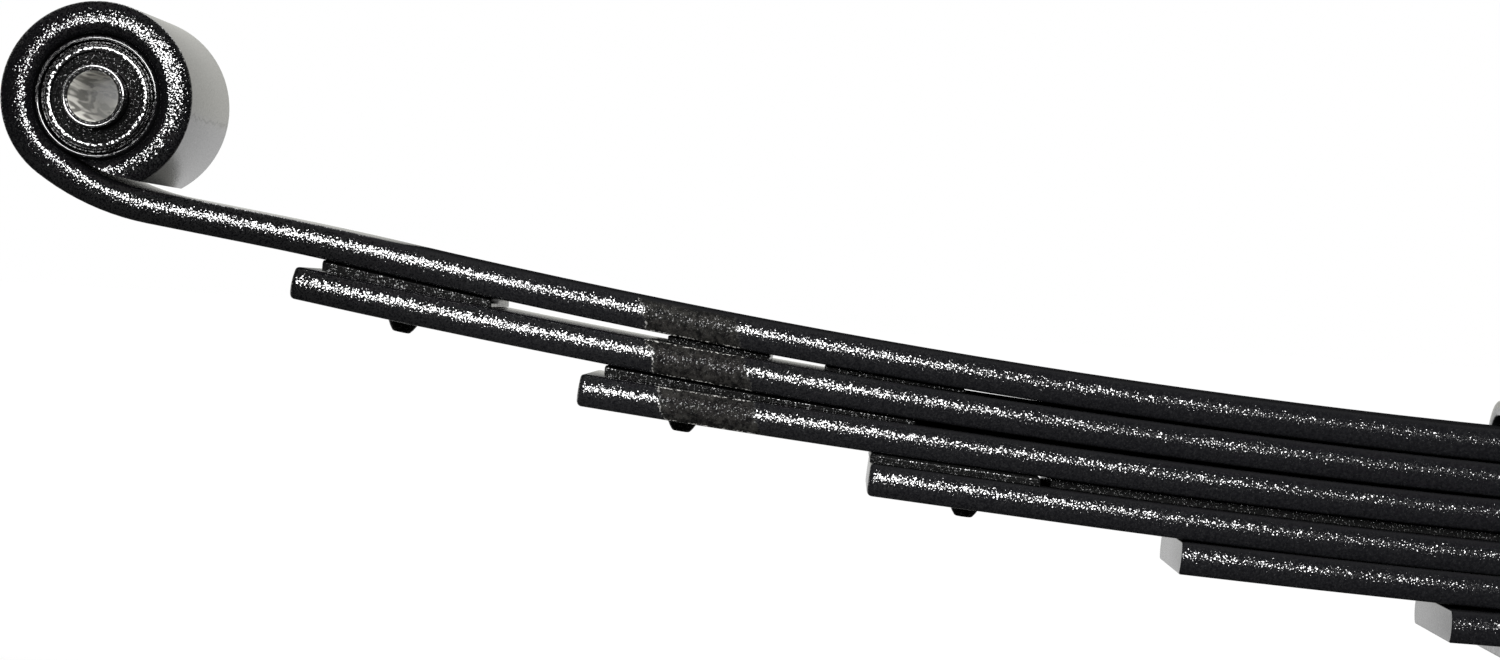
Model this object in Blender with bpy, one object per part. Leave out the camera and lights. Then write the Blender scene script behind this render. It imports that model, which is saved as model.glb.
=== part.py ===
"""A six-leaf semi-elliptic leaf spring for a truck axle, with an upturned eye and a rubber bush at each end.

+X runs along the spring towards the rear eye and +Z is up. The origin is on the centre bolt's axis, on the
underside of the lowest leaf, where the axle seat meets it. Metres.
"""

import math
from functools import partial

import bmesh
import bpy
from mathutils import Matrix, Vector

# Leaves
LEAF_WIDTH = 0.0762
LEAF_THICKNESS = 0.0114
LEAF_HALF_LENGTHS = (None, 0.639, 0.537, 0.434, 0.3235, 0.228)  # leaf 1 ends in its eyes
SEAT_HALF = 0.060  # the flat length on each side of the centre bolt
SEAT_SPLIT = 0.020  # the flat faces start here, clear of the bolt's head and nut
SEAT_RELIEF = 0.00005  # round the bolt hole, each leaf is this much thinner on each face
RELIEF_RAMP = 0.002
ARCH_RADIUS = 3.2  # of the free, unloaded arch
TIP_CHAMFER = 0.0016
CLEARANCE = 0.0003  # between pieces that touch

# The gap under each leaf: at the seat, at mid length and at the tip of the leaf below, and where it starts to open
GAPS = (
    (0.0003, 0.0010, 0.0047, 0.290),
    (0.0003, 0.0017, 0.0047, 0.370),
    (0.0036, 0.0036, 0.0039, 0.350),
    (0.0003, 0.0003, 0.0009, 0.250),
    (0.0003, 0.0014, 0.0020, 0.190),
)

# Eyes of leaf 1
EYE_HALF_SPAN = 0.711  # centre bolt to eye centre
EYE_BORE_RADIUS = 0.022225
REVERSE_BEND = (0.046, -1.33)  # length and radius of the slight reverse bend before the eye
EYE_NECK_LENGTH = 0.035
EYE_LEAD_RADIUS = 0.0847  # the bend that leads into the roll, on the leaf's middle line
EYE_LEAD_ANGLE = math.radians(27.2)
EYE_END_GAPS = (0.0010, 0.0023)  # between the end of the roll and the leaf below it, at the bore and outside

# Tip pads: leaf number, how far the pad's end is from the leaf's tip, its width and its length
PADS = ((2, 0.0095, 0.062, 0.060), (3, 0.0085, 0.062, 0.110), (4, 0.0002, 0.072, 0.060))
BUTTON_FROM_TIP = 0.036
BUTTON_SHANK_RADIUS = 0.0042
BUTTON_HEAD_RADIUS = 0.0055
BUTTON_HEAD_HEIGHT = 0.0042

# Plain pads: name, the leaf each lies on, and where it starts and ends from the centre bolt
LINERS = (("mid_pad", 2, 0.471, 0.507), ("inner_pad", 2, 0.4015, 0.4515), ("long_liner", 4, 0.064, 0.370))
LINER_WIDTH = 0.060

# Centre bolt, nut and spacer
BOLT_RADIUS = 0.0062
BOLT_HEAD_RADIUS = 0.0095
BOLT_HEAD_HEIGHT = 0.009
BOLT_END_ABOVE_NUT = 0.004
NUT_ACROSS_FLATS = 0.019
NUT_HEIGHT = 0.0105
SPACER_LENGTH = 0.118
SPACER_WIDTH = 0.0750

# Rebound clips
CLIP_FROM_CENTRE = 0.1895
CLIP_WIDTH = 0.03175
CLIP_THICKNESS = 0.0058
CLIP_SIDE_GAP = 0.0012
CLIP_TOP_GAP = 0.0040
CLIP_TOP_BEND = 0.013  # inner radius of the bends over the main leaf
CLIP_BOTTOM_BEND = 0.0065
CLIP_MOUTH_HALF = 0.010  # half of the gap between the two bent-over ends
CLIP_EDGE = 0.0008
RIVET_RADIUS = 0.0048
RIVET_HEAD_RADIUS = 0.0085
RIVET_HEAD_HEIGHT = 0.0055
RIVET_SINK_RADIUS = 0.0075
RIVET_SINK_DEPTH = 0.003

# Eye bushes
SHELL_WALL = 0.0017
SHELL_HALF_LENGTH = 0.0358
RUBBER_INNER_RADIUS = 0.0113
RUBBER_HALF_LENGTH = 0.0366
SLEEVE_OUTER_RADIUS = 0.0110
SLEEVE_BORE_RADIUS = 0.0086
SLEEVE_HALF_LENGTH = 0.0408

# Where a quarter of the free half stands from the seat's edge, each half seems to turn as it flexes
FLEX_PIVOT_SHARE = 0.25

EDGE_STEPS = 6  # facets round each rounded leaf edge
EYE_STEPS = 30  # facets round each rolled eye
TURN_STEPS = 32  # facets round a turned piece

LEAF_COUNT = len(LEAF_HALF_LENGTHS)
HALF_THICKNESS = LEAF_THICKNESS / 2
MAIN_LEAF_Z = HALF_THICKNESS + sum(LEAF_THICKNESS + seat for seat, *_ in GAPS)


# ---------------------------------------------------------------- materials and objects


def material(name, colour, roughness, metallic=0.0):
    made = bpy.data.materials.new(name)
    made.use_nodes = True
    shader = made.node_tree.nodes["Principled BSDF"]
    shader.inputs["Base Color"].default_value = (*colour, 1.0)
    shader.inputs["Roughness"].default_value = roughness
    shader.inputs["Metallic"].default_value = metallic
    return made


def add_object(name, mesh_builder, made_of, matrix=None, parent=None):
    """An object from a bmesh, at a world matrix, and below an empty if one is given."""
    bmesh.ops.recalc_face_normals(mesh_builder, faces=mesh_builder.faces)
    mesh = bpy.data.meshes.new(name)
    mesh_builder.to_mesh(mesh)
    mesh_builder.free()
    mesh.materials.append(made_of)
    mesh.shade_smooth()
    mesh.set_sharp_from_angle(angle=math.radians(35))
    made = bpy.data.objects.new(name, mesh)
    bpy.context.collection.objects.link(made)
    world = matrix or Matrix()
    if parent:
        made.parent = parent
        world = parent.matrix_world.inverted() @ world
    made.matrix_local = world
    return made


def add_empty(name, place, parent=None):
    made = bpy.data.objects.new(name, None)
    bpy.context.collection.objects.link(made)
    made.parent = parent
    made.location = Vector(place) - (parent.matrix_world.translation if parent else Vector())
    bpy.context.view_layer.update()
    return made


def cut(target, cutter):
    cutter.hide_render = True
    cutter.display_type = "WIRE"
    boolean = target.modifiers.new(cutter.name, "BOOLEAN")
    boolean.operation = "DIFFERENCE"
    boolean.object = cutter


def unite(target, other):
    other.hide_render = True
    other.display_type = "WIRE"
    boolean = target.modifiers.new(other.name, "BOOLEAN")
    boolean.operation = "UNION"
    boolean.object = other


# ---------------------------------------------------------------- shapes


def skin(rings):
    """A closed solid through rings of equal size, each one a loop that runs up one side and down the other."""
    made = bmesh.new()
    loops = [[made.verts.new(point) for point in ring] for ring in rings]
    size = len(loops[0])
    for one, other in zip(loops, loops[1:]):
        for k in range(size):
            made.faces.new((one[k], one[(k + 1) % size], other[(k + 1) % size], other[k]))
    for loop in (loops[0], loops[-1]):
        for k in range(size // 2 - 1):
            made.faces.new((loop[k], loop[k + 1], loop[size - 2 - k], loop[size - 1 - k]))
    return made


def turned(profile, steps=TURN_STEPS):
    """A solid turned about the Z axis from (radius, height) points. A profile clear of the axis makes a ring."""
    made = bmesh.new()
    corners = [made.verts.new((radius, 0.0, height)) for radius, height in profile]
    edges = [made.edges.new(pair) for pair in zip(corners, corners[1:])]
    if profile[0][0] > 0:
        edges.append(made.edges.new((corners[-1], corners[0])))
    bmesh.ops.spin(
        made, geom=corners + edges, cent=(0, 0, 0), axis=(0, 0, 1), angle=2 * math.pi, steps=steps
    )
    bmesh.ops.remove_doubles(made, verts=made.verts, dist=1e-6)
    return made


def prism(outline, low, high):
    """A prism on (x, y) points, between two heights."""
    made = bmesh.new()
    bottom = made.faces.new([made.verts.new((x, y, low)) for x, y in outline])
    risen = bmesh.ops.extrude_face_region(made, geom=[bottom])
    top = [item for item in risen["geom"] if isinstance(item, bmesh.types.BMVert)]
    bmesh.ops.translate(made, verts=top, vec=(0, 0, high - low))
    return made


def section():
    """(y, height) points round a leaf's cross-section, whose two sides are fully rounded."""
    side = []
    for k in range(EDGE_STEPS + 1):
        angle = math.pi * (k / EDGE_STEPS - 0.5)
        y = LEAF_WIDTH / 2 - HALF_THICKNESS + HALF_THICKNESS * math.cos(angle)
        side.append((y, HALF_THICKNESS * math.sin(angle)))
    return side + [(-y, height) for y, height in reversed(side)]


# ---------------------------------------------------------------- the arch and the stack


def arch(x):
    """Height of the free arch over the seat, on the main leaf's middle line."""
    run = max(abs(x) - SEAT_HALF, 0.0)
    return ARCH_RADIUS - math.sqrt(ARCH_RADIUS**2 - run**2)


def arch_cosine(x):
    run = max(abs(x) - SEAT_HALF, 0.0)
    return math.sqrt(1 - (run / ARCH_RADIUS) ** 2)


def gap_under(upper, x):
    """The gap between leaf number upper and the one below it."""
    seat, middle, tip, opens = GAPS[upper - 1]
    reach = abs(x)
    if reach < opens:
        return seat + (middle - seat) * max(reach - SEAT_HALF, 0.0) / (opens - SEAT_HALF)
    share = (reach - opens) / (LEAF_HALF_LENGTHS[upper] - opens)
    return middle + (tip - middle) * share**1.5


def leaf_z(number, x):
    """Height of a leaf's middle line."""
    below = sum(LEAF_THICKNESS + gap_under(k, x) for k in range(1, number))
    return MAIN_LEAF_Z + arch(x) - below / arch_cosine(x)


def leaf_slope(number, x):
    step = 0.0005
    return math.atan2(leaf_z(number, x + step) - leaf_z(number, x - step), 2 * step)


def leaf_top(number, x):
    return leaf_z(number, x) + HALF_THICKNESS / math.cos(leaf_slope(number, x))


def leaf_bottom(number, x):
    return leaf_z(number, x) - HALF_THICKNESS / math.cos(leaf_slope(number, x))


def on_leaf(number, x, height=0.0):
    """A frame on a leaf's middle line whose Z axis is square to the leaf, raised along that axis."""
    turn = Matrix.Rotation(-leaf_slope(number, x), 4, "Y")
    return Matrix.Translation((x, 0.0, leaf_z(number, x))) @ turn @ Matrix.Translation((0, 0, height))


def stations(low, high, step):
    count = max(2, round((high - low) / step))
    return [low + (high - low) * k / count for k in range(count + 1)]


# ---------------------------------------------------------------- leaves


def ring_at(x, z, heading, shape, trim=0.0):
    """A section across the leaf at a point on its middle line, with its upper and lower faces moved in by trim."""
    scale = 1 - trim / HALF_THICKNESS
    return [
        Vector((x - height * scale * math.sin(heading), y, z + height * scale * math.cos(heading)))
        for y, height in shape
    ]


def seat_trim(x):
    return SEAT_RELIEF if abs(x) < SEAT_SPLIT - RELIEF_RAMP / 2 else 0.0


def walk(x, z, heading, length, radius, steps):
    """Points (x, z, heading) along an arc, or along a straight line where the radius is None."""
    points = []
    for k in range(1, steps + 1):
        run = length * k / steps
        if radius is None:
            points.append((x + run * math.cos(heading), z + run * math.sin(heading), heading))
            continue
        turn = heading + run / radius
        points.append(
            (
                x + radius * (math.sin(turn) - math.sin(heading)),
                z + radius * (math.cos(heading) - math.cos(turn)),
                turn,
            )
        )
    return points


def main_leaf_path(arc_length):
    """The rear half of the main leaf's middle line, up to where the eye's own circle starts."""
    path = [(0.0, MAIN_LEAF_Z, 0.0)]
    runs = (
        (SEAT_SPLIT - RELIEF_RAMP, None, 1),
        (RELIEF_RAMP, None, 1),
        (SEAT_HALF - SEAT_SPLIT, None, 1),
        (arc_length, ARCH_RADIUS, 12),
        (*REVERSE_BEND, 3),
        (EYE_NECK_LENGTH, None, 1),
        (EYE_LEAD_RADIUS * EYE_LEAD_ANGLE, EYE_LEAD_RADIUS, 6),
    )
    for length, radius, steps in runs:
        path += walk(*path[-1], length, radius, steps)
    return path


EYE_MIDDLE_RADIUS = EYE_BORE_RADIUS + HALF_THICKNESS


def eye_centre_of(path):
    x, z, heading = path[-1]
    return x - EYE_MIDDLE_RADIUS * math.sin(heading), z + EYE_MIDDLE_RADIUS * math.cos(heading)


def fitted_main_path():
    """The path whose long arc puts the eye's centre at its stated distance from the centre bolt."""
    arc_length = 0.5
    for _ in range(6):
        path = main_leaf_path(arc_length)
        arc_length += EYE_HALF_SPAN - eye_centre_of(path)[0]
    return main_leaf_path(arc_length)


MAIN_PATH = fitted_main_path()
EYE_X, EYE_Z = eye_centre_of(MAIN_PATH)


def eye_sweep(radius):
    """How far the roll turns, at a radius from the eye's centre, before it would meet the leaf below it."""
    centres = EYE_LEAD_RADIUS - EYE_MIDDLE_RADIUS
    at_bore, outside = EYE_END_GAPS
    gap = at_bore + (outside - at_bore) * (radius - EYE_BORE_RADIUS) / LEAF_THICKNESS
    stop = EYE_LEAD_RADIUS - HALF_THICKNESS - gap
    return math.pi + math.acos((radius**2 + centres**2 - stop**2) / (2 * radius * centres))


def eye_rings(heading, shape, steps):
    """The rolled eye: each point of the section goes round at its own radius, and stops above the leaf."""
    rings = []
    for k in range(1, steps + 1):
        ring = []
        for y, height in shape:
            radius = EYE_MIDDLE_RADIUS - height
            turn = heading + eye_sweep(radius) * k / steps
            ring.append(Vector((EYE_X + radius * math.sin(turn), y, EYE_Z - radius * math.cos(turn))))
        rings.append(ring)
    return rings


def main_leaf():
    shape = section()
    half = [ring_at(x, z, heading, shape, seat_trim(x)) for x, z, heading in MAIN_PATH]
    half += eye_rings(MAIN_PATH[-1][2], shape, EYE_STEPS)
    mirrored = [[Vector((-p.x, p.y, p.z)) for p in ring] for ring in reversed(half[1:])]
    return skin(mirrored + half)


def lower_leaf(number):
    """A plain leaf, cut square across its ends and slightly rounded there."""
    shape = section()
    tip = LEAF_HALF_LENGTHS[number - 1]
    inner = tip - TIP_CHAMFER
    half = [SEAT_SPLIT - RELIEF_RAMP, SEAT_SPLIT, *stations(SEAT_HALF, inner, 0.045), tip]
    places = [-x for x in reversed(half)] + half
    rings = []
    for x in places:
        trim = TIP_CHAMFER if abs(x) == tip else seat_trim(x)
        rings.append(ring_at(x, leaf_z(number, x), leaf_slope(number, x), shape, trim))
    return skin(rings)


def add_leaves(paint):
    leaves = [add_object("leaf_1", main_leaf(), paint)]
    for number in range(2, LEAF_COUNT + 1):
        leaves.append(add_object(f"leaf_{number}", lower_leaf(number), paint))
    bolt_hole = [(0, -0.02), (BOLT_RADIUS + CLEARANCE, -0.02), (BOLT_RADIUS + CLEARANCE, 0.1), (0, 0.1)]
    for number, leaf in enumerate(leaves, 1):
        cut(leaf, add_object(f"bolt_hole_cutter_{number}", turned(bolt_hole, 28), paint))
    return leaves


# ---------------------------------------------------------------- pads


def slab(x_low, x_high, width, low, high, end_drop=0.0006):
    """A pad that follows the leaves above and below it. Its ends taper a little."""
    rings = []
    places = stations(x_low, x_high, 0.012)
    for x in places:
        at_end = x in (places[0], places[-1])
        side = width / 2
        bottom = low(x) + CLEARANCE
        top = high(x) - CLEARANCE - (end_drop if at_end else 0.0)
        rings.append([Vector(p) for p in ((x, side, bottom), (x, side, top), (x, -side, top), (x, -side, bottom))])
    return skin(rings)


def add_tip_pad(name, number, side, inset, width, length, leaf, plastic):
    """A pad on a leaf's tip, with a button below it that snaps through a hole in the leaf."""
    tip = LEAF_HALF_LENGTHS[number - 1]
    x_low, x_high = sorted((side * (tip - inset), side * (tip - inset - length)))
    pad = add_object(
        name,
        slab(x_low, x_high, width, lambda x: leaf_top(number, x), lambda x: leaf_bottom(number - 1, x)),
        plastic,
    )
    seat = on_leaf(number, side * (tip - BUTTON_FROM_TIP))
    under = -HALF_THICKNESS - CLEARANCE
    button = [
        (0, under - BUTTON_HEAD_HEIGHT),
        (BUTTON_HEAD_RADIUS * 0.62, under - BUTTON_HEAD_HEIGHT),
        (BUTTON_HEAD_RADIUS, under - 0.0008),
        (BUTTON_HEAD_RADIUS, under),
        (BUTTON_SHANK_RADIUS, under),
        (BUTTON_SHANK_RADIUS, HALF_THICKNESS + 0.001),
        (0, HALF_THICKNESS + 0.001),
    ]
    unite(pad, add_object(name + "_button", turned(button, 20), plastic, seat))
    hole = BUTTON_SHANK_RADIUS + CLEARANCE
    drill = [(0, -0.01), (hole, -0.01), (hole, 0.01), (0, 0.01)]
    cut(leaf, add_object(name + "_hole_cutter", turned(drill, 20), plastic, seat))


def add_pads(leaves, plastic):
    for end, side in (("front", -1), ("rear", 1)):
        for number, inset, width, length in PADS:
            name = f"{end}_tip_pad_{number}"
            add_tip_pad(name, number, side, inset, width, length, leaves[number - 1], plastic)
        for name, number, near, far in LINERS:
            x_low, x_high = sorted((side * near, side * far))
            low, high = partial(leaf_top, number), partial(leaf_bottom, number - 1)
            add_object(f"{end}_{name}", slab(x_low, x_high, LINER_WIDTH, low, high, 0.0002), plastic)


# ---------------------------------------------------------------- centre bolt, nut and spacer


def add_centre(steel, paint):
    nut_low = MAIN_LEAF_Z + HALF_THICKNESS + CLEARANCE
    nut_high = nut_low + NUT_HEIGHT
    end = nut_high + BOLT_END_ABOVE_NUT
    bolt = [
        (0, -BOLT_HEAD_HEIGHT - CLEARANCE),
        (BOLT_HEAD_RADIUS - 0.001, -BOLT_HEAD_HEIGHT - CLEARANCE),
        (BOLT_HEAD_RADIUS, -BOLT_HEAD_HEIGHT + 0.001),
        (BOLT_HEAD_RADIUS, -CLEARANCE),
        (BOLT_RADIUS, -CLEARANCE),
        (BOLT_RADIUS, end - 0.001),
        (BOLT_RADIUS - 0.001, end),
        (0, end),
    ]
    add_object("centre_bolt", turned(bolt, 28), steel)
    corner = NUT_ACROSS_FLATS / math.sqrt(3)
    hexagon = [
        (corner * math.cos(math.radians(60 * k)), corner * math.sin(math.radians(60 * k))) for k in range(6)
    ]
    nut = add_object("centre_nut", prism(hexagon, nut_low, nut_high), steel)
    hole = BOLT_RADIUS + CLEARANCE
    bore = [(0, nut_low - 0.005), (hole, nut_low - 0.005), (hole, nut_high + 0.005), (0, nut_high + 0.005)]
    cut(nut, add_object("nut_hole_cutter", turned(bore, 28), steel))
    x, y = SPACER_LENGTH / 2, SPACER_WIDTH / 2
    low, high = leaf_top(4, 0) + CLEARANCE, leaf_bottom(3, 0) - CLEARANCE
    spacer = add_object("centre_spacer", prism([(-x, -y), (x, -y), (x, y), (-x, y)], low, high), paint)
    bore = [(0, low - 0.005), (hole, low - 0.005), (hole, high + 0.005), (0, high + 0.005)]
    cut(spacer, add_object("spacer_hole_cutter", turned(bore, 28), paint))


# ---------------------------------------------------------------- rebound clips


def clip_outline(x):
    """The clip's middle line from one bent-over end to the other, as (y, z) points with z square to the leaves."""
    half = CLIP_THICKNESS / 2
    side = LEAF_WIDTH / 2 + CLIP_SIDE_GAP + half
    bottom = leaf_bottom(6, x) - leaf_z(6, x) - CLEARANCE - half
    top = (leaf_top(1, x) - leaf_z(6, x)) * math.cos(leaf_slope(1, x)) + CLIP_TOP_GAP + half
    upper, lower = CLIP_TOP_BEND + half, CLIP_BOTTOM_BEND + half
    points = [(CLIP_MOUTH_HALF, top)]
    points += [
        (side - upper + upper * math.sin(turn), top - upper + upper * math.cos(turn))
        for turn in (math.radians(15 * k) for k in range(7))
    ]
    points += [
        (side - lower + lower * math.cos(turn), bottom + lower - lower * math.sin(turn))
        for turn in (math.radians(22.5 * k) for k in range(5))
    ]
    return points + [(-y, z) for y, z in reversed(points)]


def clip_solid(x):
    outline = clip_outline(x)
    half_x, half, edge = CLIP_WIDTH / 2, CLIP_THICKNESS / 2, CLIP_EDGE
    profile = [
        (half_x - edge, -half),
        (half_x, -half + edge),
        (half_x, half - edge),
        (half_x - edge, half),
    ]
    profile += [(-across, depth) for across, depth in reversed(profile)]
    rings = []
    for k, (y, z) in enumerate(outline):
        before, after = outline[max(k - 1, 0)], outline[min(k + 1, len(outline) - 1)]
        along = Vector((after[0] - before[0], after[1] - before[1])).normalized()
        normal = (-along.y, along.x)
        rings.append(
            [Vector((across, y + depth * normal[0], z + depth * normal[1])) for across, depth in profile]
        )
    return skin(rings)


def add_clip(end, side, leaf, paint):
    """A flat strap round all the leaves, riveted to the lowest one and bent over the main leaf."""
    x = side * CLIP_FROM_CENTRE
    frame = on_leaf(6, x)
    clip = add_object(f"{end}_clip", clip_solid(x), paint, frame)
    hole = RIVET_RADIUS + CLEARANCE
    sink = RIVET_SINK_RADIUS + CLEARANCE
    low = -HALF_THICKNESS - CLEARANCE - CLIP_THICKNESS
    through = [(0, low - 0.005), (hole, low - 0.005), (hole, 0.002), (0, 0.002)]
    cut(clip, add_object(f"{end}_clip_hole_cutter", turned(through, 24), paint, frame))
    countersunk = [
        (0, -0.01),
        (hole, -0.01),
        (hole, HALF_THICKNESS - RIVET_SINK_DEPTH),
        (sink, HALF_THICKNESS),
        (sink, 0.007),
        (0, 0.007),
    ]
    cut(leaf, add_object(f"{end}_rivet_hole_cutter", turned(countersunk, 24), paint, frame))
    head = low - CLEARANCE
    dome = [
        (RIVET_HEAD_RADIUS * math.sin(turn), head - RIVET_HEAD_HEIGHT * math.cos(turn))
        for turn in (math.radians(15 * k) for k in range(7))
    ]
    rivet = dome + [
        (RIVET_RADIUS, head),
        (RIVET_RADIUS, HALF_THICKNESS - RIVET_SINK_DEPTH),
        (RIVET_SINK_RADIUS, HALF_THICKNESS - CLEARANCE),
        (0, HALF_THICKNESS - CLEARANCE),
    ]
    add_object(f"{end}_clip_rivet", turned(rivet, 24), paint, frame)


# ---------------------------------------------------------------- eye bushes


def both_ends(half_profile):
    """A ring's profile from one half of it: (radius, height) points from the inside out, at the upper end."""
    return half_profile + [(radius, -height) for radius, height in reversed(half_profile)]


def add_bush(end, side, steel, rubber):
    """A steel shell pressed into the eye, rubber bonded inside it, and an inner sleeve for the eye bolt."""
    pivot_x = side * (SEAT_HALF + FLEX_PIVOT_SHARE * (EYE_HALF_SPAN - SEAT_HALF))
    flex = add_empty(f"{end}_flex_pivot", (pivot_x, 0.0, MAIN_LEAF_Z))
    eye = add_empty(f"{end}_eye_axis", (side * EYE_X, 0.0, EYE_Z), flex)
    across = Matrix.Translation((side * EYE_X, 0.0, EYE_Z)) @ Matrix.Rotation(math.radians(90), 4, "X")

    shell_outer = EYE_BORE_RADIUS - CLEARANCE
    shell_inner = shell_outer - SHELL_WALL
    shell = [
        (shell_inner, SHELL_HALF_LENGTH),
        (shell_outer - 0.0006, SHELL_HALF_LENGTH),
        (shell_outer, SHELL_HALF_LENGTH - 0.0006),
    ]
    add_object(f"{end}_bush_shell", turned(both_ends(shell)), steel, across, flex)

    rubber_outer = shell_inner - CLEARANCE
    face = RUBBER_HALF_LENGTH
    block = [
        (RUBBER_INNER_RADIUS, face - 0.0028),
        (0.0155, face - 0.0028),
        (0.0171, face),
        (0.0187, face - 0.0026),
        (rubber_outer, face - 0.0026),
    ]
    add_object(f"{end}_bush_rubber", turned(both_ends(block)), rubber, across, flex)

    sleeve = [
        (SLEEVE_BORE_RADIUS, SLEEVE_HALF_LENGTH),
        (SLEEVE_OUTER_RADIUS - 0.0006, SLEEVE_HALF_LENGTH),
        (SLEEVE_OUTER_RADIUS, SLEEVE_HALF_LENGTH - 0.0006),
    ]
    add_object(f"{end}_bush_sleeve", turned(both_ends(sleeve)), steel, across, eye)


# ---------------------------------------------------------------- the spring


def build():
    for old in list(bpy.data.objects):
        bpy.data.objects.remove(old)
    paint = material("black_paint", (0.012, 0.012, 0.013), 0.32)
    steel = material("painted_steel", (0.016, 0.016, 0.017), 0.28)
    plastic = material("pad_plastic", (0.02, 0.02, 0.02), 0.5)
    rubber = material("bush_rubber", (0.010, 0.010, 0.010), 0.4)
    leaves = add_leaves(paint)
    add_pads(leaves, plastic)
    add_centre(steel, paint)
    for end, side in (("front", -1), ("rear", 1)):
        add_clip(end, side, leaves[-1], paint)
        add_bush(end, side, steel, rubber)


build()
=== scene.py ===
"""The looks of the leaf spring: gloss black paint, full-round leaf edges, rolled eyes and bush faces.

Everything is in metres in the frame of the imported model: +X towards the rear eye, +Z up, and the
origin on the centre bolt's axis at the underside of the lowest leaf. Each leaf is made again as two
halves that meet at the centre bolt, because each half bends with its own end of the spring.
"""

import math

import bmesh
import bpy
from mathutils import Matrix, Vector


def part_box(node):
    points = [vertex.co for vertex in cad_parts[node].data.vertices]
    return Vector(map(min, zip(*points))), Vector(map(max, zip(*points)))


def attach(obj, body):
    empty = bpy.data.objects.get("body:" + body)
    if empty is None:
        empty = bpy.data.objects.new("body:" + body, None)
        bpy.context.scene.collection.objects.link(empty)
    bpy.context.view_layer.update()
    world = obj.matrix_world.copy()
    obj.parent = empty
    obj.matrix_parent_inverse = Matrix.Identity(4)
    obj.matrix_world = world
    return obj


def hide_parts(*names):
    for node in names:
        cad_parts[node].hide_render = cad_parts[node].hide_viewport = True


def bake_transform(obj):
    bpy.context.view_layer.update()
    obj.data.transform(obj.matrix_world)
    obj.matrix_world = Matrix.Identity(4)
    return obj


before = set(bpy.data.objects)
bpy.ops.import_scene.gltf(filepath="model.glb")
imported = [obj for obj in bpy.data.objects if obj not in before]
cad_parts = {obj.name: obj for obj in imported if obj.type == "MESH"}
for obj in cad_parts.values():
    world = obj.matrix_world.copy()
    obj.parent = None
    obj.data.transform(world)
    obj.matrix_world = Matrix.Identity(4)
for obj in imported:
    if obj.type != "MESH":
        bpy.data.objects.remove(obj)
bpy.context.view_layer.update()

# The leaves, as in the CAD model. Leaf 1, the main leaf, is on top and ends in its eyes.
LEAF_THICKNESS = 0.0114
LEAF_HALF_LENGTHS = (None, 0.639, 0.537, 0.434, 0.3235, 0.228)
SEAT_HALF = 0.060
ARCH_RADIUS = 3.2
# The gap under each leaf: at the seat, at mid length, at the tip below, and where it starts to open
GAPS = (
    (0.0003, 0.0010, 0.0047, 0.290),
    (0.0003, 0.0017, 0.0047, 0.370),
    (0.0036, 0.0036, 0.0039, 0.350),
    (0.0003, 0.0003, 0.0009, 0.250),
    (0.0003, 0.0014, 0.0020, 0.190),
)
EYE_BORE_RADIUS = 0.022225
REVERSE_BEND = (0.046, -1.33)  # length and radius of the slight reverse bend before the eye
EYE_NECK_LENGTH = 0.035
EYE_LEAD_RADIUS = 0.0847  # the bend that leads into the roll, on the leaf's middle line
EYE_LEAD_ANGLE = math.radians(27.2)
EYE_END_GAPS = (0.0010, 0.0023)  # between the roll's end and the leaf below it, at the bore and outside
EYE_EDGE_SHIFT = 0.0018  # how far the rolled edge bulges towards the bore
TIP_ROUNDING = {  # of each plain leaf's end, at its top and at its bottom
    2: (0.0013, 0.0020),
    3: (0.0013, 0.0020),
    4: (0.0013, 0.0020),
    5: (0.0005, 0.0006),
    6: (0.0005, 0.0006),
}
EDGE_RADIUS = 0.0080  # of the flatter middle of each edge
CORNER_RADIUS = 0.0020
EDGE_STEPS = 24
EYE_STEPS = 72
LEAD_STEPS = 10

CLEARANCE = 0.0003  # between pieces that touch
BOLT_HOLE_RADIUS = 0.0065

# Tip pads: leaf number, how far the pad's end is from the leaf's tip, its width and its length
PADS = ((2, 0.0095, 0.062, 0.060), (3, 0.0085, 0.062, 0.110), (4, 0.0002, 0.072, 0.060))
PAD_ROUNDING = 0.0011
BUTTON_FROM_TIP = 0.036
BUTTON_HOLE_RADIUS = 0.0045
BUTTON_HEAD_RADIUS = 0.0055
BUTTON_HEAD_HEIGHT = 0.0042
BUTTON_TOP = 0.0012  # how far the shank reaches into the pad

# Plain pads: name, the leaf each lies on, and where it starts and ends from the centre bolt
LINERS = (
    ("mid_pad", 2, 0.471, 0.507),
    ("inner_pad", 2, 0.4015, 0.4515),
    ("long_liner", 4, 0.064, 0.370),
)
LINER_WIDTH = 0.060
LINER_ROUNDING = 0.0005

CLIP_FROM_CENTRE = 0.1895
CLIP_WIDTH = 0.03175
CLIP_THICKNESS = 0.0058
CLIP_SIDE_GAP = 0.0012
CLIP_TOP_GAP = 0.0040
CLIP_TOP_BEND = 0.013  # inner radius of the bends over the main leaf
CLIP_BOTTOM_BEND = 0.0065
CLIP_MOUTH_HALF = 0.010  # half of the gap between the two bent-over ends
CLIP_EDGE_ROUNDING = 0.0011
RIVET_RADIUS = 0.0048
RIVET_HEAD_RADIUS = 0.0085
RIVET_HEAD_HEIGHT = 0.0055
RIVET_SINK_RADIUS = 0.0075
RIVET_SINK_DEPTH = 0.003

# The rings on the bushes' faces
SHELL_RING_RADIUS = 0.0207
RUBBER_LIP_RADIUS = 0.0170
RUBBER_INNER_RINGS = (0.0126, 0.0139, 0.0151)
RUBBER_OUTER_RINGS = (0.0182, 0.0192)
RUBBER_SINK = 0.0026  # how deep the rubber's face lies under its CAD box
SLEEVE_BORE_RADIUS = 0.0086
SLEEVE_OUTER_RADIUS = 0.0110
SLEEVE_RINGS = (0.0095, 0.0104)
SLEEVE_SHINES_FROM = 0.0098  # inside this radius the sleeve's face is dull

# The dull patch where a strap went round the upper leaves. It leans a little along the spring.
STRAP_FROM_CENTRE = 0.4736
STRAP_LEAN = 0.26
STRAP_HALF = 0.0162

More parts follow.
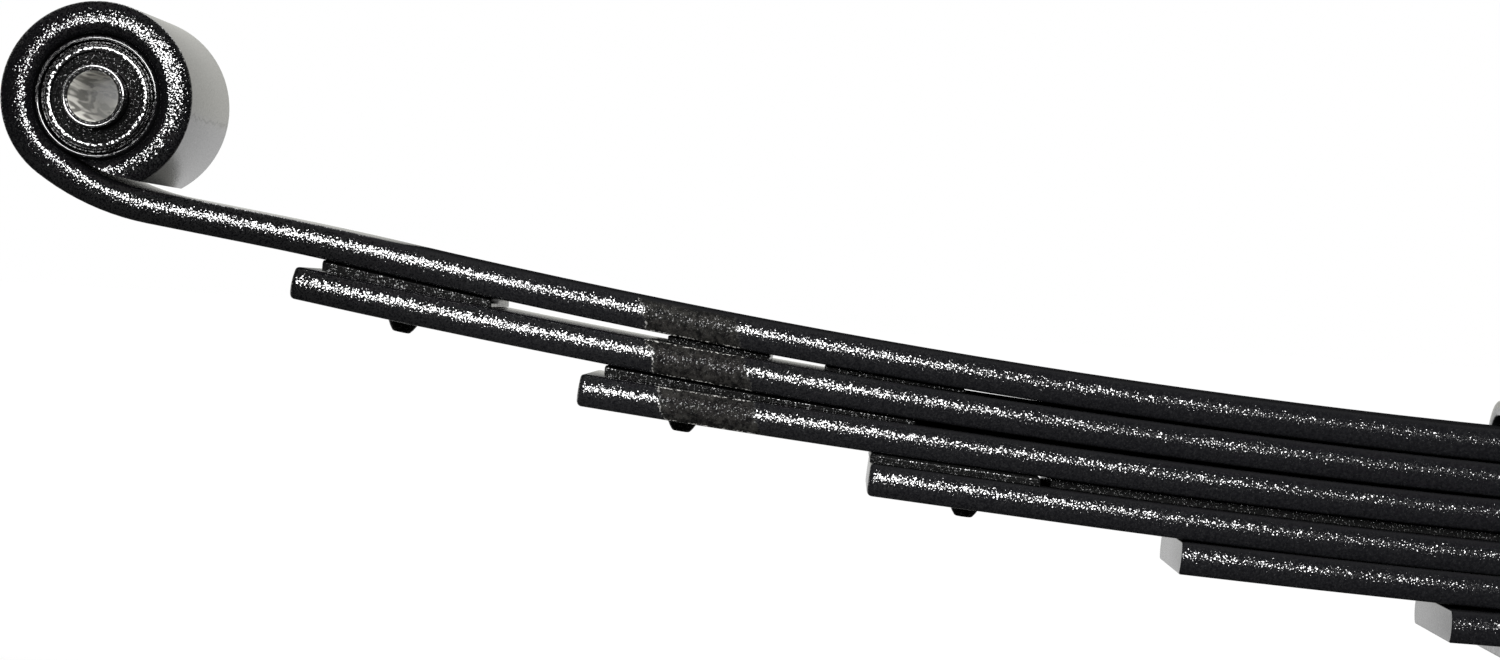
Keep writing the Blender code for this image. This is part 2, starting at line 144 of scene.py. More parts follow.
# Where the leaves' top faces stop being dull, from the centre bolt
MAIN_LEAF_DULL_TO = 0.66
PLAIN_LEAF_DULL_TO = 0.48
SCRATCH_HEIGHT = -0.0049  # of a scratch along the outside of each eye, from its centre

# Scales of the noises that make the paint sparkle: which grains shine, and how each is tilted
GRAIN_SCALE = 1550.0
TILT_SCALE = 1500.0

# Colours
WHITE = (1.0, 1.0, 1.0, 1.0)
DULL_BLACK = (0.0065, 0.0065, 0.0070, 1.0)
DEEP_BLACK = (0.0014, 0.0014, 0.0016, 1.0)
RUBBER_BLACK = (0.0014, 0.0014, 0.0014, 1.0)
SLEEVE_BLACK = (0.004, 0.004, 0.004, 1.0)
PAINT_TONES = ((0.0028, 0.0028, 0.0033, 1.0), (0.0060, 0.0060, 0.0066, 1.0))
STRAP_TONES = ((0.002, 0.002, 0.002, 1.0), (0.013, 0.0125, 0.0115, 1.0))
# Painted highlight: the grey of the glint dots along the strap patch's outline
PAINTED_GLINT_GREY = (0.32, 0.315, 0.30, 1.0)
BORE_GREYS = ((0.13, 0.127, 0.117, 1.0), (0.52, 0.51, 0.475, 1.0))
BORE_RUNS = (0.02, 0.02, 0.02, 1.0)
FLOOR_TONES = ((0.06, 0.06, 0.06, 1.0), (0.02, 0.02, 0.02, 1.0))
FRONT_SKY = ((0.010, 0.010, 0.011, 1.0), (0.20, 0.20, 0.195, 1.0))  # low and high, in front
REAR_SKY = ((1.0, 0.995, 0.94, 1.0), (0.55, 0.55, 0.53, 1.0))  # low and high, behind

FLOOR_Z = -0.16
FLOOR_GLOW = 0.56  # what the camera sees of the floor in front

# Soft boxes: place, the point each is aimed at, width, height and power in watts. The front one makes
# the bright band along the rounded edges, and the rear one lights the far edges.
FRONT_BOX = ((-0.475, -2.3, 0.755), (-0.475, 0.0, 0.1), 1.85, 0.79, 200.0)
REAR_BOX = ((0.0, 2.0, 2.3), (0.0, 0.0, 0.1), 3.2, 0.6, 40.0)

# The camera stands square to the spring, at the height of its arch, and is turned a little about its
# own axis
CAMERA_PLACE = Vector((-0.4457, -1.2019, 0.1081))
CAMERA_ROLL = 0.0578
CAMERA_LENS = 80.14
CAMERA_SHIFT = (-0.0633, -0.0187)

HALF_THICKNESS = LEAF_THICKNESS / 2
LEAF_COUNT = len(LEAF_HALF_LENGTHS)
MAIN_LEAF_Z = HALF_THICKNESS + sum(LEAF_THICKNESS + seat for seat, *_ in GAPS)
EYE_MIDDLE_RADIUS = EYE_BORE_RADIUS + HALF_THICKNESS
ENDS = (("front", -1), ("rear", 1))

SLEEVE_LOW, SLEEVE_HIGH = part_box("rear_bush_sleeve")
EYE_CENTRE = (SLEEVE_LOW + SLEEVE_HIGH) / 2
LEAF_LOW, LEAF_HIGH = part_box("leaf_1")
LEAF_WIDTH = LEAF_HIGH.y - LEAF_LOW.y

SHARP_FROM = math.radians(35)  # edges at a larger angle than this aren't smoothed


# ---------------------------------------------------------------- objects and meshes


def add_piece(name, mesh_builder, looks, matrix=None):
    """An object from a bmesh, whose mesh is turned into the shared frame."""
    if matrix is not None:
        bmesh.ops.transform(mesh_builder, matrix=matrix, verts=mesh_builder.verts)
    bmesh.ops.recalc_face_normals(mesh_builder, faces=mesh_builder.faces)
    mesh = bpy.data.meshes.new(name)
    mesh_builder.to_mesh(mesh)
    mesh_builder.free()
    mesh.materials.append(looks)
    mesh.shade_smooth()
    mesh.set_sharp_from_angle(angle=SHARP_FROM)
    made = bpy.data.objects.new(name, mesh)
    bpy.context.scene.collection.objects.link(made)
    return made


def combine(target, other, operation, sharp_from=SHARP_FROM):
    """Adds other to target (UNION) or takes it out (DIFFERENCE), and deletes other."""
    boolean = target.modifiers.new("combine", "BOOLEAN")
    boolean.operation = operation
    boolean.solver = "EXACT"
    boolean.object = other
    graph = bpy.context.evaluated_depsgraph_get()
    combined = bpy.data.meshes.new_from_object(target.evaluated_get(graph))
    target.modifiers.clear()
    old = target.data
    target.data = combined
    combined.name = old.name
    combined.set_sharp_from_angle(angle=sharp_from)
    bpy.data.meshes.remove(old)
    bpy.data.objects.remove(other)


def skin(rings):
    """A closed solid through rings of equal size. Each is a loop, up one side and down the other."""
    made = bmesh.new()
    loops = [[made.verts.new(point) for point in ring] for ring in rings]
    size = len(loops[0])
    for one, other in zip(loops, loops[1:]):
        for k in range(size):
            made.faces.new((one[k], one[(k + 1) % size], other[(k + 1) % size], other[k]))
    for loop in (loops[0], loops[-1]):
        for k in range(size // 2 - 1):
            made.faces.new((loop[k], loop[k + 1], loop[size - 2 - k], loop[size - 1 - k]))
    return made


def turned(profile, steps=96):
    """A solid turned about Z from (radius, height) points. A profile clear of the axis makes a ring."""
    made = bmesh.new()
    corners = [made.verts.new((radius, 0.0, height)) for radius, height in profile]
    edges = [made.edges.new(pair) for pair in zip(corners, corners[1:])]
    if profile[0][0] > 0:
        edges.append(made.edges.new((corners[-1], corners[0])))
    bmesh.ops.spin(
        made, geom=corners + edges, cent=(0, 0, 0), axis=(0, 0, 1), angle=2 * math.pi, steps=steps
    )
    bmesh.ops.remove_doubles(made, verts=made.verts, dist=1e-6)
    return made


def drill(radius, half_length, matrix):
    """A cutter along a matrix's Z axis."""
    profile = [(0, -half_length), (radius, -half_length), (radius, half_length), (0, half_length)]
    return add_piece("cutter", turned(profile, 32), None, matrix)


# ---------------------------------------------------------------- the arch and the stack


def arch(x):
    """Height of the free arch over the seat, on the main leaf's middle line."""
    run = max(abs(x) - SEAT_HALF, 0.0)
    return ARCH_RADIUS - math.sqrt(ARCH_RADIUS**2 - run**2)


def arch_cosine(x):
    """The cosine of the arch's slope."""
    run = max(abs(x) - SEAT_HALF, 0.0)
    return math.sqrt(1 - (run / ARCH_RADIUS) ** 2)


def gap_under(upper, x):
    """The gap between leaf number upper and the one below it."""
    seat, middle, tip, opens = GAPS[upper - 1]
    reach = abs(x)
    if reach < opens:
        return seat + (middle - seat) * max(reach - SEAT_HALF, 0.0) / (opens - SEAT_HALF)
    share = (reach - opens) / (LEAF_HALF_LENGTHS[upper] - opens)
    return middle + (tip - middle) * share**1.5


def leaf_z(number, x):
    """Height of a leaf's middle line."""
    below = sum(LEAF_THICKNESS + gap_under(k, x) for k in range(1, number))
    return MAIN_LEAF_Z + arch(x) - below / arch_cosine(x)


def leaf_slope(number, x):
    """The angle between a leaf and the X axis."""
    step = 0.0005
    return math.atan2(leaf_z(number, x + step) - leaf_z(number, x - step), 2 * step)


def leaf_top(number, x):
    return leaf_z(number, x) + HALF_THICKNESS / math.cos(leaf_slope(number, x))


def leaf_bottom(number, x):
    return leaf_z(number, x) - HALF_THICKNESS / math.cos(leaf_slope(number, x))


def on_leaf(number, x):
    """A frame on a leaf's middle line whose Z axis is square to the leaf."""
    turn = Matrix.Rotation(-leaf_slope(number, x), 4, "Y")
    return Matrix.Translation((x, 0.0, leaf_z(number, x))) @ turn


def stations(low, high, step):
    """Evenly spaced numbers from low to high, about a step apart."""
    count = max(2, round((high - low) / step))
    return [low + (high - low) * k / count for k in range(count + 1)]


# ---------------------------------------------------------------- leaves


def section(shift=0.0, off_top=0.0, off_bottom=0.0):
    """(y, height) points round a leaf. Its rounded edges have a flatter crest that can be shifted up."""
    top, bottom = HALF_THICKNESS - off_top, HALF_THICKNESS - off_bottom
    inset = max(off_top, off_bottom)
    turn_over = math.asin((HALF_THICKNESS - CORNER_RADIUS) / (EDGE_RADIUS - CORNER_RADIUS))
    side = []
    for k in range(EDGE_STEPS + 1):
        angle = math.pi * (k / EDGE_STEPS - 0.5)
        back, height = EDGE_RADIUS * (1 - math.cos(angle)), EDGE_RADIUS * math.sin(angle)
        if abs(angle) > turn_over:
            inner = EDGE_RADIUS - CORNER_RADIUS
            back = EDGE_RADIUS - inner * math.cos(turn_over) - CORNER_RADIUS * math.cos(angle)
            height = math.copysign(inner * math.sin(turn_over), angle) + CORNER_RADIUS * math.sin(angle)
        reach = top - shift if height > 0 else bottom + shift
        side.append((LEAF_WIDTH / 2 - inset - back, shift + reach * height / HALF_THICKNESS))
    return side + [(-y, height) for y, height in reversed(side)]


def ring_at(x, z, heading, shape):
    """A section set square to a heading."""
    return [
        Vector((x - height * math.sin(heading), y, z + height * math.cos(heading)))
        for y, height in shape
    ]


def mirrored(rings, side):
    """Rings turned over to the front half where side is -1."""
    return [[Vector((side * p.x, p.y, p.z)) for p in ring] for ring in rings]


def walk(x, z, heading, length, radius, steps):
    """Points (x, z, heading) along an arc, or along a straight line where the radius is None."""
    points = []
    for k in range(1, steps + 1):
        run = length * k / steps
        if radius is None:
            points.append((x + run * math.cos(heading), z + run * math.sin(heading), heading))
            continue
        turn = heading + run / radius
        across = x + radius * (math.sin(turn) - math.sin(heading))
        points.append((across, z + radius * (math.cos(heading) - math.cos(turn)), turn))
    return points


def main_leaf_path(arc_length):
    """The rear half of the main leaf's middle line, up to where the eye's own circle starts."""
    path = [(0.0, MAIN_LEAF_Z, 0.0)]
    runs = (
        (SEAT_HALF, None, 4),
        (arc_length, ARCH_RADIUS, 28),
        (*REVERSE_BEND, 4),
        (EYE_NECK_LENGTH, None, 3),
        (EYE_LEAD_RADIUS * EYE_LEAD_ANGLE, EYE_LEAD_RADIUS, LEAD_STEPS),
    )
    for length, radius, steps in runs:
        path += walk(*path[-1], length, radius, steps)
    return path


def eye_centre_of(path):
    """The (x, z) of the eye's centre at the end of a path."""
    x, z, heading = path[-1]
    return x - EYE_MIDDLE_RADIUS * math.sin(heading), z + EYE_MIDDLE_RADIUS * math.cos(heading)


def fitted_main_path():
    """The path whose long arc puts the eye's centre where the bush is."""
    arc_length = 0.5
    for _ in range(6):
        arc_length += EYE_CENTRE.x - eye_centre_of(main_leaf_path(arc_length))[0]
    return main_leaf_path(arc_length)


def eye_sweep(radius):
    """How far the roll turns, at a radius from the eye's centre, before it meets the leaf below."""
    centres = EYE_LEAD_RADIUS - EYE_MIDDLE_RADIUS
    at_bore, outside = EYE_END_GAPS
    gap = at_bore + (outside - at_bore) * (radius - EYE_BORE_RADIUS) / LEAF_THICKNESS
    stop = EYE_LEAD_RADIUS - HALF_THICKNESS - gap
    return math.pi + math.acos((radius**2 + centres**2 - stop**2) / (2 * radius * centres))


def smooth(share):
    """0 to 1 with a soft start and a soft end."""
    share = min(max(share, 0.0), 1.0)
    return share * share * (3 - 2 * share)


def main_leaf_half(side):
    """Half the main leaf, from the centre out, with its eye."""
    path = fitted_main_path()
    eye_x, eye_z = eye_centre_of(path)
    rings = []
    lead_start = len(path) - 1 - LEAD_STEPS
    for k, (x, z, heading) in enumerate(path):
        rolled = smooth((k - lead_start) / LEAD_STEPS)
        rings.append(ring_at(x, z, heading, section(EYE_EDGE_SHIFT * rolled)))
    heading = path[-1][2]
    for k in range(1, EYE_STEPS + 1):
        ring = []
        for y, height in section(EYE_EDGE_SHIFT):
            radius = EYE_MIDDLE_RADIUS - height
            turn = heading + eye_sweep(radius) * k / EYE_STEPS
            ring.append(Vector((eye_x + radius * math.sin(turn), y, eye_z - radius * math.cos(turn))))
        rings.append(ring)
    return skin(mirrored(rings, side))


def plain_leaf_half(number, side):
    """Half a plain leaf, from the centre out, with its end cut square and its corners rounded."""
    tip = LEAF_HALF_LENGTHS[number - 1]
    top, bottom = TIP_ROUNDING[number]
    rounding = max(top, bottom)
    seat_and_arch = (0.0, 0.02, 0.04, *stations(SEAT_HALF, tip - rounding, 0.022))
    places = [(x, 0.0, 0.0) for x in seat_and_arch]
    for k in range(1, 7):
        turn = math.radians(15 * k)
        short = 1 - math.cos(turn)
        places.append((tip - rounding + rounding * math.sin(turn), top * short, bottom * short))
    rings = [
        ring_at(x, leaf_z(number, x), leaf_slope(number, x), section(0.0, off_top, off_bottom))
        for x, off_top, off_bottom in places
    ]
    return skin(mirrored(rings, side))


def stands_for(piece, node, rides=None, bends=None):
    """Hides the CAD part that a piece stands in for, and hangs the piece on the body it follows.

    rides names the body that it moves with. bends names the end of the spring the piece belongs to; only
    whether it is given is used, and then the piece's place is baked into its mesh.
    """
    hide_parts(node)
    if rides is not None:
        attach(piece, rides)
    if bends is not None:
        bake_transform(piece)


def add_leaves(main_paint, paint):
    with_buttons = [number for number, *_ in PADS]
    for end, side in ENDS:
        for number in range(1, LEAF_COUNT + 1):
            made = main_leaf_half(side) if number == 1 else plain_leaf_half(number, side)
            half = add_piece(f"{end}_leaf_{number}", made, main_paint if number == 1 else paint)
            seat = Matrix.Translation((0, 0, leaf_z(number, 0)))
            combine(half, drill(BOLT_HOLE_RADIUS, 0.01, seat), "DIFFERENCE")
            if number in with_buttons:
                x = side * (LEAF_HALF_LENGTHS[number - 1] - BUTTON_FROM_TIP)
                combine(half, drill(BUTTON_HOLE_RADIUS, 0.01, on_leaf(number, x)), "DIFFERENCE")
            if number == LEAF_COUNT:
                add_rivet_hole(half, side)
            stands_for(half, f"leaf_{number}", bends=end)


def add_rivet_hole(leaf, side):
    """The countersunk hole in the lowest leaf for its clip's rivet."""
    hole, sink = RIVET_RADIUS + CLEARANCE, RIVET_SINK_RADIUS + CLEARANCE
    countersunk = [
        (0, -0.01),
        (hole, -0.01),
        (hole, HALF_THICKNESS - RIVET_SINK_DEPTH),
        (sink, HALF_THICKNESS),
        (sink, 0.007),
        (0, 0.007),
    ]
    matrix = on_leaf(LEAF_COUNT, side * CLIP_FROM_CENTRE)
    combine(leaf, add_piece("cutter", turned(countersunk, 32), None, matrix), "DIFFERENCE")


# ---------------------------------------------------------------- pads


def pad_strip(x_low, x_high, width, number, round_off):
    """A moulded strip on a leaf, under the one above it, with rounded ends and upper edges."""
    rings = []
    length = x_high - x_low
    near_end = [0.0, round_off * 0.3, round_off]
    places = near_end + stations(3 * round_off, length - 3 * round_off, 0.008)
    places += [length - run for run in reversed(near_end)]
    for run in places:
        x = x_low + run
        from_end = min(run, length - run) / round_off
        drop = round_off * (1 - math.sqrt(max(0.0, 1 - max(0.0, 1 - from_end) ** 2)))
        bottom = leaf_top(number, x) + CLEARANCE
        top = leaf_bottom(number - 1, x) - CLEARANCE - drop * 0.8
        side = width / 2 - drop * 0.5
        corner = min(round_off, 0.45 * (top - bottom))
        half = [(side, bottom), (side, top - corner - 0.0001)]
        for k in range(5):
            turn = math.radians(22.5 * k)
            across, up = corner * math.cos(turn), corner * math.sin(turn)
            half.append((side - corner + across, top - corner + up))
        outline = half + [(-y, z) for y, z in reversed(half)]
        rings.append([Vector((x, y, z)) for y, z in outline])
    return skin(rings)


def button(number, x):
    """The button below a leaf: a domed plug with a lip that lies against the leaf."""
    under = -HALF_THICKNESS - CLEARANCE
    head, radius = BUTTON_HEAD_HEIGHT, BUTTON_HEAD_RADIUS
    shank, top = BUTTON_HOLE_RADIUS - CLEARANCE, HALF_THICKNESS + BUTTON_TOP
    profile = [
        (0, under - head),
        (radius * 0.50, under - head),
        (radius * 0.60, under - head + 0.0003),
        (radius * 0.78, under - head * 0.62),
        (radius * 0.94, under - head * 0.25),
        (radius, under - 0.0005),
        (radius, under),
        (shank, under),
        (shank, top),
        (0, top),
    ]
    made = turned(profile, 40)
    bmesh.ops.transform(made, matrix=on_leaf(number, x), verts=made.verts)
    return made


def add_pads(plastic):
    for end, side in ENDS:
        for number, inset, width, length in PADS:
            tip = LEAF_HALF_LENGTHS[number - 1]
            x_low, x_high = sorted((side * (tip - inset), side * (tip - inset - length)))
            strip = pad_strip(x_low, x_high, width, number, PAD_ROUNDING)
            pad = add_piece(f"{end}_pad_{number}", strip, plastic)
            plug = add_piece("plug", button(number, side * (tip - BUTTON_FROM_TIP)), plastic)
            combine(pad, plug, "UNION")
            stands_for(pad, f"{end}_tip_pad_{number}", bends=end)
        for name, number, near, far in LINERS:
            x_low, x_high = sorted((side * near, side * far))
            strip = pad_strip(x_low, x_high, LINER_WIDTH, number, LINER_ROUNDING)
            pad = add_piece(f"{end}_{name}_strip", strip, plastic)
            stands_for(pad, f"{end}_{name}", bends=end)


# ---------------------------------------------------------------- rebound clips


def clip_outline(x):
    """The clip's middle line, end to end, as (y, z) points with z square to the leaves."""
    half = CLIP_THICKNESS / 2
    side = LEAF_WIDTH / 2 + CLIP_SIDE_GAP + half
    lowest = leaf_z(LEAF_COUNT, x)
    bottom = leaf_bottom(LEAF_COUNT, x) - lowest - CLEARANCE - half
    top = (leaf_top(1, x) - lowest) * math.cos(leaf_slope(1, x)) + CLIP_TOP_GAP + half
    upper, lower = CLIP_TOP_BEND + half, CLIP_BOTTOM_BEND + half
    points = [(CLIP_MOUTH_HALF, top), ((CLIP_MOUTH_HALF + side - upper) / 2, top)]
    points += [
        (side - upper + upper * math.sin(turn), top - upper + upper * math.cos(turn))
        for turn in (math.radians(5 * k) for k in range(19))
    ]
    points += [
        (side - lower + lower * math.cos(turn), bottom + lower - lower * math.sin(turn))
        for turn in (math.radians(9 * k) for k in range(11))
    ]
    points += [((side - lower) * share, bottom) for share in (0.75, 0.5, 0.25)]
    return points + [(-y, z) for y, z in reversed(points)]


def clip_solid(x):
    """A strip with rounded edges along the clip's outline."""
    outline = clip_outline(x)
    half_x, half, edge = CLIP_WIDTH / 2, CLIP_THICKNESS / 2, CLIP_EDGE_ROUNDING
    corner = []
    for k in range(5):
        turn = math.radians(22.5 * k)
        corner.append((half_x - edge + edge * math.sin(turn), -half + edge - edge * math.cos(turn)))
    profile = corner + [(across, -depth) for across, depth in reversed(corner)]
    profile += [(-across, depth) for across, depth in reversed(profile)]
    rings = []
    for k, (y, z) in enumerate(outline):
        before, after = outline[max(k - 1, 0)], outline[min(k + 1, len(outline) - 1)]
        along = Vector((after[0] - before[0], after[1] - before[1])).normalized()
        normal = (-along.y, along.x)
        rings.append(
            [
                Vector((across, y + depth * normal[0], z + depth * normal[1]))
                for across, depth in profile
            ]
        )
    return skin(rings)


def add_clips(paint):
    for end, side in ENDS:
        x = side * CLIP_FROM_CENTRE
        matrix = on_leaf(LEAF_COUNT, x)
        clip = add_piece(f"{end}_strap", clip_solid(x), paint, matrix)
        in_clip = matrix @ Matrix.Translation((0, 0, -0.010))
        hole = drill(RIVET_RADIUS + CLEARANCE, 0.008, in_clip)
        combine(clip, hole, "DIFFERENCE", sharp_from=math.radians(40))
        stands_for(clip, f"{end}_clip", bends=end)
        head = -HALF_THICKNESS - 2 * CLEARANCE - CLIP_THICKNESS
        dome = [
            (RIVET_HEAD_RADIUS * math.sin(turn), head - RIVET_HEAD_HEIGHT * math.cos(turn))
            for turn in (math.radians(9 * k) for k in range(11))
        ]
        rivet = dome + [
            (RIVET_RADIUS, head),
            (RIVET_RADIUS, HALF_THICKNESS - RIVET_SINK_DEPTH),
            (RIVET_SINK_RADIUS, HALF_THICKNESS - CLEARANCE),
            (0, HALF_THICKNESS - CLEARANCE),
        ]
        made = add_piece(f"{end}_rivet", turned(rivet, 48), paint, matrix)
        stands_for(made, f"{end}_clip_rivet", bends=end)


# ---------------------------------------------------------------- eye bushes


def both_ends(half_profile):
    """A ring's profile from the upper half of it: (radius, height) points from the inside out."""
    return half_profile + [(radius, -height) for radius, height in reversed(half_profile)]


def bead(middle, height, width, rise, steps=8):
    """A rounded ridge on a face and flat ground beside it: (radius, height) points."""
    points = []
    for k in range(steps + 1):
        turn = math.pi * k / steps
        points.append((middle - width / 2 * math.cos(turn), height + rise * math.sin(turn)))
    beside = width / 2 + 0.00004
    return [(middle - beside, height)] + points + [(middle + beside, height)]


def shell_profile(half_length):
    """Half of the bush's steel shell, with one ring on its face."""
    profile = [(0.02025, half_length - 0.0012)]
    profile += bead(SHELL_RING_RADIUS, half_length - 0.0003, 0.0008, 0.0002, 10)
    return profile + [(0.0219, half_length - 0.0014)]


def rubber_profile(half_length):
    """Half of the rubber, with a lip and finer rings on its sunken face."""
    face = half_length - RUBBER_SINK
    near_ring, far_ring = RUBBER_OUTER_RINGS
    profile = [(0.0113, face)]
    for radius in RUBBER_INNER_RINGS:
        profile += bead(radius, face, 0.0004, 0.00012)
    profile += [(0.0161, face)]
    profile += bead(RUBBER_LIP_RADIUS, face + 0.0016, 0.0018, 0.00022, 16)
    profile += bead(near_ring, face + 0.0006, 0.0005, 0.0002)
    profile += bead(far_ring, face, 0.0005, 0.0002)
    return profile + [(0.0199, face - 0.0006)]


def sleeve_profile(half_length):
    """Half of the inner sleeve, with a flared bore and two rings on its face."""
    near_ring, far_ring = SLEEVE_RINGS
    profile = [
        (SLEEVE_BORE_RADIUS, half_length - 0.0012),
        (SLEEVE_BORE_RADIUS + 0.0003, half_length - 0.0005),
    ]
    profile += bead(near_ring, half_length - 0.0003, 0.0007, 0.00010)
    profile += bead(far_ring, half_length - 0.00015, 0.0009, 0.00012, 10)
    return profile + [(SLEEVE_OUTER_RADIUS, half_length - 0.0012)]


def add_bushes(steel, rubber, sleeve_looks):
    # name, profile, facets, looks, slot and the body it rides
    rings = (
        ("shell", shell_profile, 96, steel, "hardware_paint", "eye"),
        ("rubber", rubber_profile, 120, rubber, "bush_rubber", "eye"),
        ("sleeve", sleeve_profile, 96, sleeve_looks, "hardware_paint", "sleeve"),
    )
    for end, side in ENDS:
        place = Matrix.Translation((side * EYE_CENTRE.x, 0, EYE_CENTRE.z))
        across = place @ Matrix.Rotation(math.radians(90), 4, "X")
        for name, profile, facets, looks, slot, body in rings:
            node = f"{end}_bush_{name}"
            ring = turned(both_ends(profile(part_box(node)[1].y)), facets)
            made = add_piece(f"{end}_{name}", ring, looks, across)
            stands_for(made, node, rides=f"{end}_{body}")


# ---------------------------------------------------------------- materials


class Nodes:
    """Shorthand for building a node tree."""

    def __init__(self, tree):
        self.tree = tree

    def add(self, kind, inputs=None, **settings):
        node = self.tree.nodes.new(kind)
        for key, value in settings.items():
            setattr(node, key, value)
        for key, value in (inputs or {}).items():
            if isinstance(value, bpy.types.NodeSocket):
                self.tree.links.new(value, node.inputs[key])
            else:
                node.inputs[key].default_value = value
        return node

    def maths(self, operation, first, second=0.0):
        return self.add("ShaderNodeMath", {0: first, 1: second}, operation=operation).outputs[0]

    def size(self, value):
        return self.maths("ABSOLUTE", value)

    def plus(self, first, second):
        return self.maths("ADD", first, second)

    def minus(self, first, second):
        return self.maths("SUBTRACT", first, second)

    def times(self, first, second):
        return self.maths("MULTIPLY", first, second)

    def larger(self, first, second):
        return self.maths("MAXIMUM", first, second)

    def ramp(self, value, low, high, to_low=0.0, to_high=1.0):
        """Smooth change from to_low to to_high as value goes from low to high."""
        inputs = {"Value": value, "From Min": low, "From Max": high, "To Min": to_low, "To Max": to_high}
        node = self.add("ShaderNodeMapRange", inputs, interpolation_type="SMOOTHSTEP")
        return node.outputs["Result"]

    def near(self, value, middle, inner, outer):
        """1 where value is within inner of middle, and 0 where it is further than outer."""
        return self.ramp(self.size(self.minus(value, middle)), inner, outer, 1.0, 0.0)

    def mix(self, share, first, second):
        """A colour that goes from first to second."""
        inputs = {0: share, 6: first, 7: second}
        return self.add("ShaderNodeMix", inputs, data_type="RGBA").outputs[2]

    def blend(self, share, first, second):
        """A number that goes from first to second."""
        inputs = {0: share, 2: first, 3: second}
        return self.add("ShaderNodeMix", inputs, data_type="FLOAT").outputs[0]

    def place(self):
        """The x, y and z of a point on the object."""
        where = self.add("ShaderNodeTexCoord").outputs["Object"]
        return self.add("ShaderNodeSeparateXYZ", {0: where}).outputs

    def facing(self):
        """The x, y and z of the surface's normal."""
        normal = self.add("ShaderNodeTexCoord").outputs["Normal"]
        return self.add("ShaderNodeSeparateXYZ", {0: normal}).outputs

    def noise_node(self, scale, detail, roughness):
        where = self.add("ShaderNodeTexCoord").outputs["Object"]
        inputs = {"Vector": where, "Scale": scale, "Detail": detail, "Roughness": roughness}
        return self.add("ShaderNodeTexNoise", inputs)

    def noise(self, scale, detail=2.0, roughness=0.5):
        return self.noise_node(scale, detail, roughness).outputs["Fac"]

    def grained_normal(self, scale, amount):
        """The surface normal, tilted a different way on each grain."""
        noise = self.noise_node(scale, 1.0, 0.5).outputs["Color"]
        tilt = self.vector("SUBTRACT", {0: noise, 1: (0.5, 0.5, 0.5)})
        tilt = self.vector("SCALE", {0: tilt, "Scale": amount})
        normal = self.add("ShaderNodeNewGeometry").outputs["Normal"]
        return self.vector("NORMALIZE", {0: self.vector("ADD", {0: normal, 1: tilt})})

    def vector(self, operation, inputs):
        return self.add("ShaderNodeVectorMath", inputs, operation=operation).outputs[0]


def painted(name):
    """A new material, its node shorthand and its shader."""
    made = bpy.data.materials.new(name)
    made.use_nodes = True
    shader = made.node_tree.nodes["Principled BSDF"]
    shader.inputs["IOR"].default_value = 1.5
    return made, Nodes(made.node_tree), shader


def link(made, value, shader, socket):
    made.node_tree.links.new(value, shader.inputs[socket])


def gloss_paint(name, colour, roughness, scatter, level=0.5):
    """Smooth black paint with a soft orange peel, and a few grains in it that glint."""
    made, nodes, shader = painted(name)
    glint = nodes.ramp(nodes.noise(1700.0, 1.0), 0.60, 0.66)
    link(made, nodes.blend(glint, level, 0.7), shader, "Specular IOR Level")
    tone = nodes.ramp(nodes.noise(600.0, 3.0), 0.35, 0.75)
    lighter = tuple(value * 2.0 for value in colour)
    link(made, nodes.mix(tone, (*colour, 1.0), (*lighter, 1.0)), shader, "Base Color")
    worn = nodes.ramp(nodes.noise(160.0, 4.0, 0.6), 0.3, 0.8, roughness * 0.8, roughness * 1.4)
    link(made, worn, shader, "Roughness")
    link(made, nodes.grained_normal(900.0, scatter), shader, "Normal")
    return made


def strap_mark(nodes, x, z, normal_z, wander):
    """Masks of the dull patch that a strap left: the patch, its ends, and its dotted outline of painted
    glints.
    """
    along = nodes.plus(nodes.plus(x, nodes.times(z, STRAP_LEAN)), STRAP_FROM_CENTRE)
    from_middle = nodes.plus(nodes.size(along), wander)
    patch = nodes.ramp(from_middle, STRAP_HALF, STRAP_HALF + 0.0005, 1.0, 0.0)
    ends = nodes.near(from_middle, STRAP_HALF, 0.0, 0.0009)

    # The outline is painted highlight: glints along the patch's ends and its rounded corners, put in as
    # grey dots in the colour
    end_line = nodes.near(from_middle, STRAP_HALF + 0.0003, 0.00015, 0.0004)
    end_line = nodes.times(end_line, nodes.ramp(along, -0.004, 0.004, 0.35, 0.03))
    corner_line = nodes.times(nodes.near(nodes.size(normal_z), 0.86, 0.05, 0.13), patch)
    dots = nodes.ramp(nodes.noise(1100.0, 1.0), 0.50, 0.57)
    outline = nodes.times(nodes.larger(end_line, corner_line), dots)
    return patch, ends, outline


def edge_glints(nodes, reach, z, patch, ends):
    """Where the grains on a leaf's edge shine: fewer of them towards the middle of the spring."""
    drift = nodes.times(nodes.noise(24.0, 2.0), 0.20)
    inner = nodes.minus(nodes.plus(reach, drift), nodes.times(z, 1.2))
    bare = nodes.ramp(inner, 0.22, 0.60, 0.645, 0.45)
    bare = nodes.plus(bare, nodes.ramp(z, 0.12, 0.16, 0.0, 0.035))
    glint = nodes.ramp(nodes.minus(nodes.noise(GRAIN_SCALE, 1.0, 0.6), bare), -0.012, 0.02)
    patch_glint = nodes.ramp(nodes.noise(1800.0, 1.0), 0.58, 0.66, 0.0, 0.5)
    end_glint = nodes.times(nodes.ramp(nodes.noise(900.0, 2.0), 0.46, 0.54), ends)
    return nodes.larger(nodes.blend(patch, glint, patch_glint), end_glint)


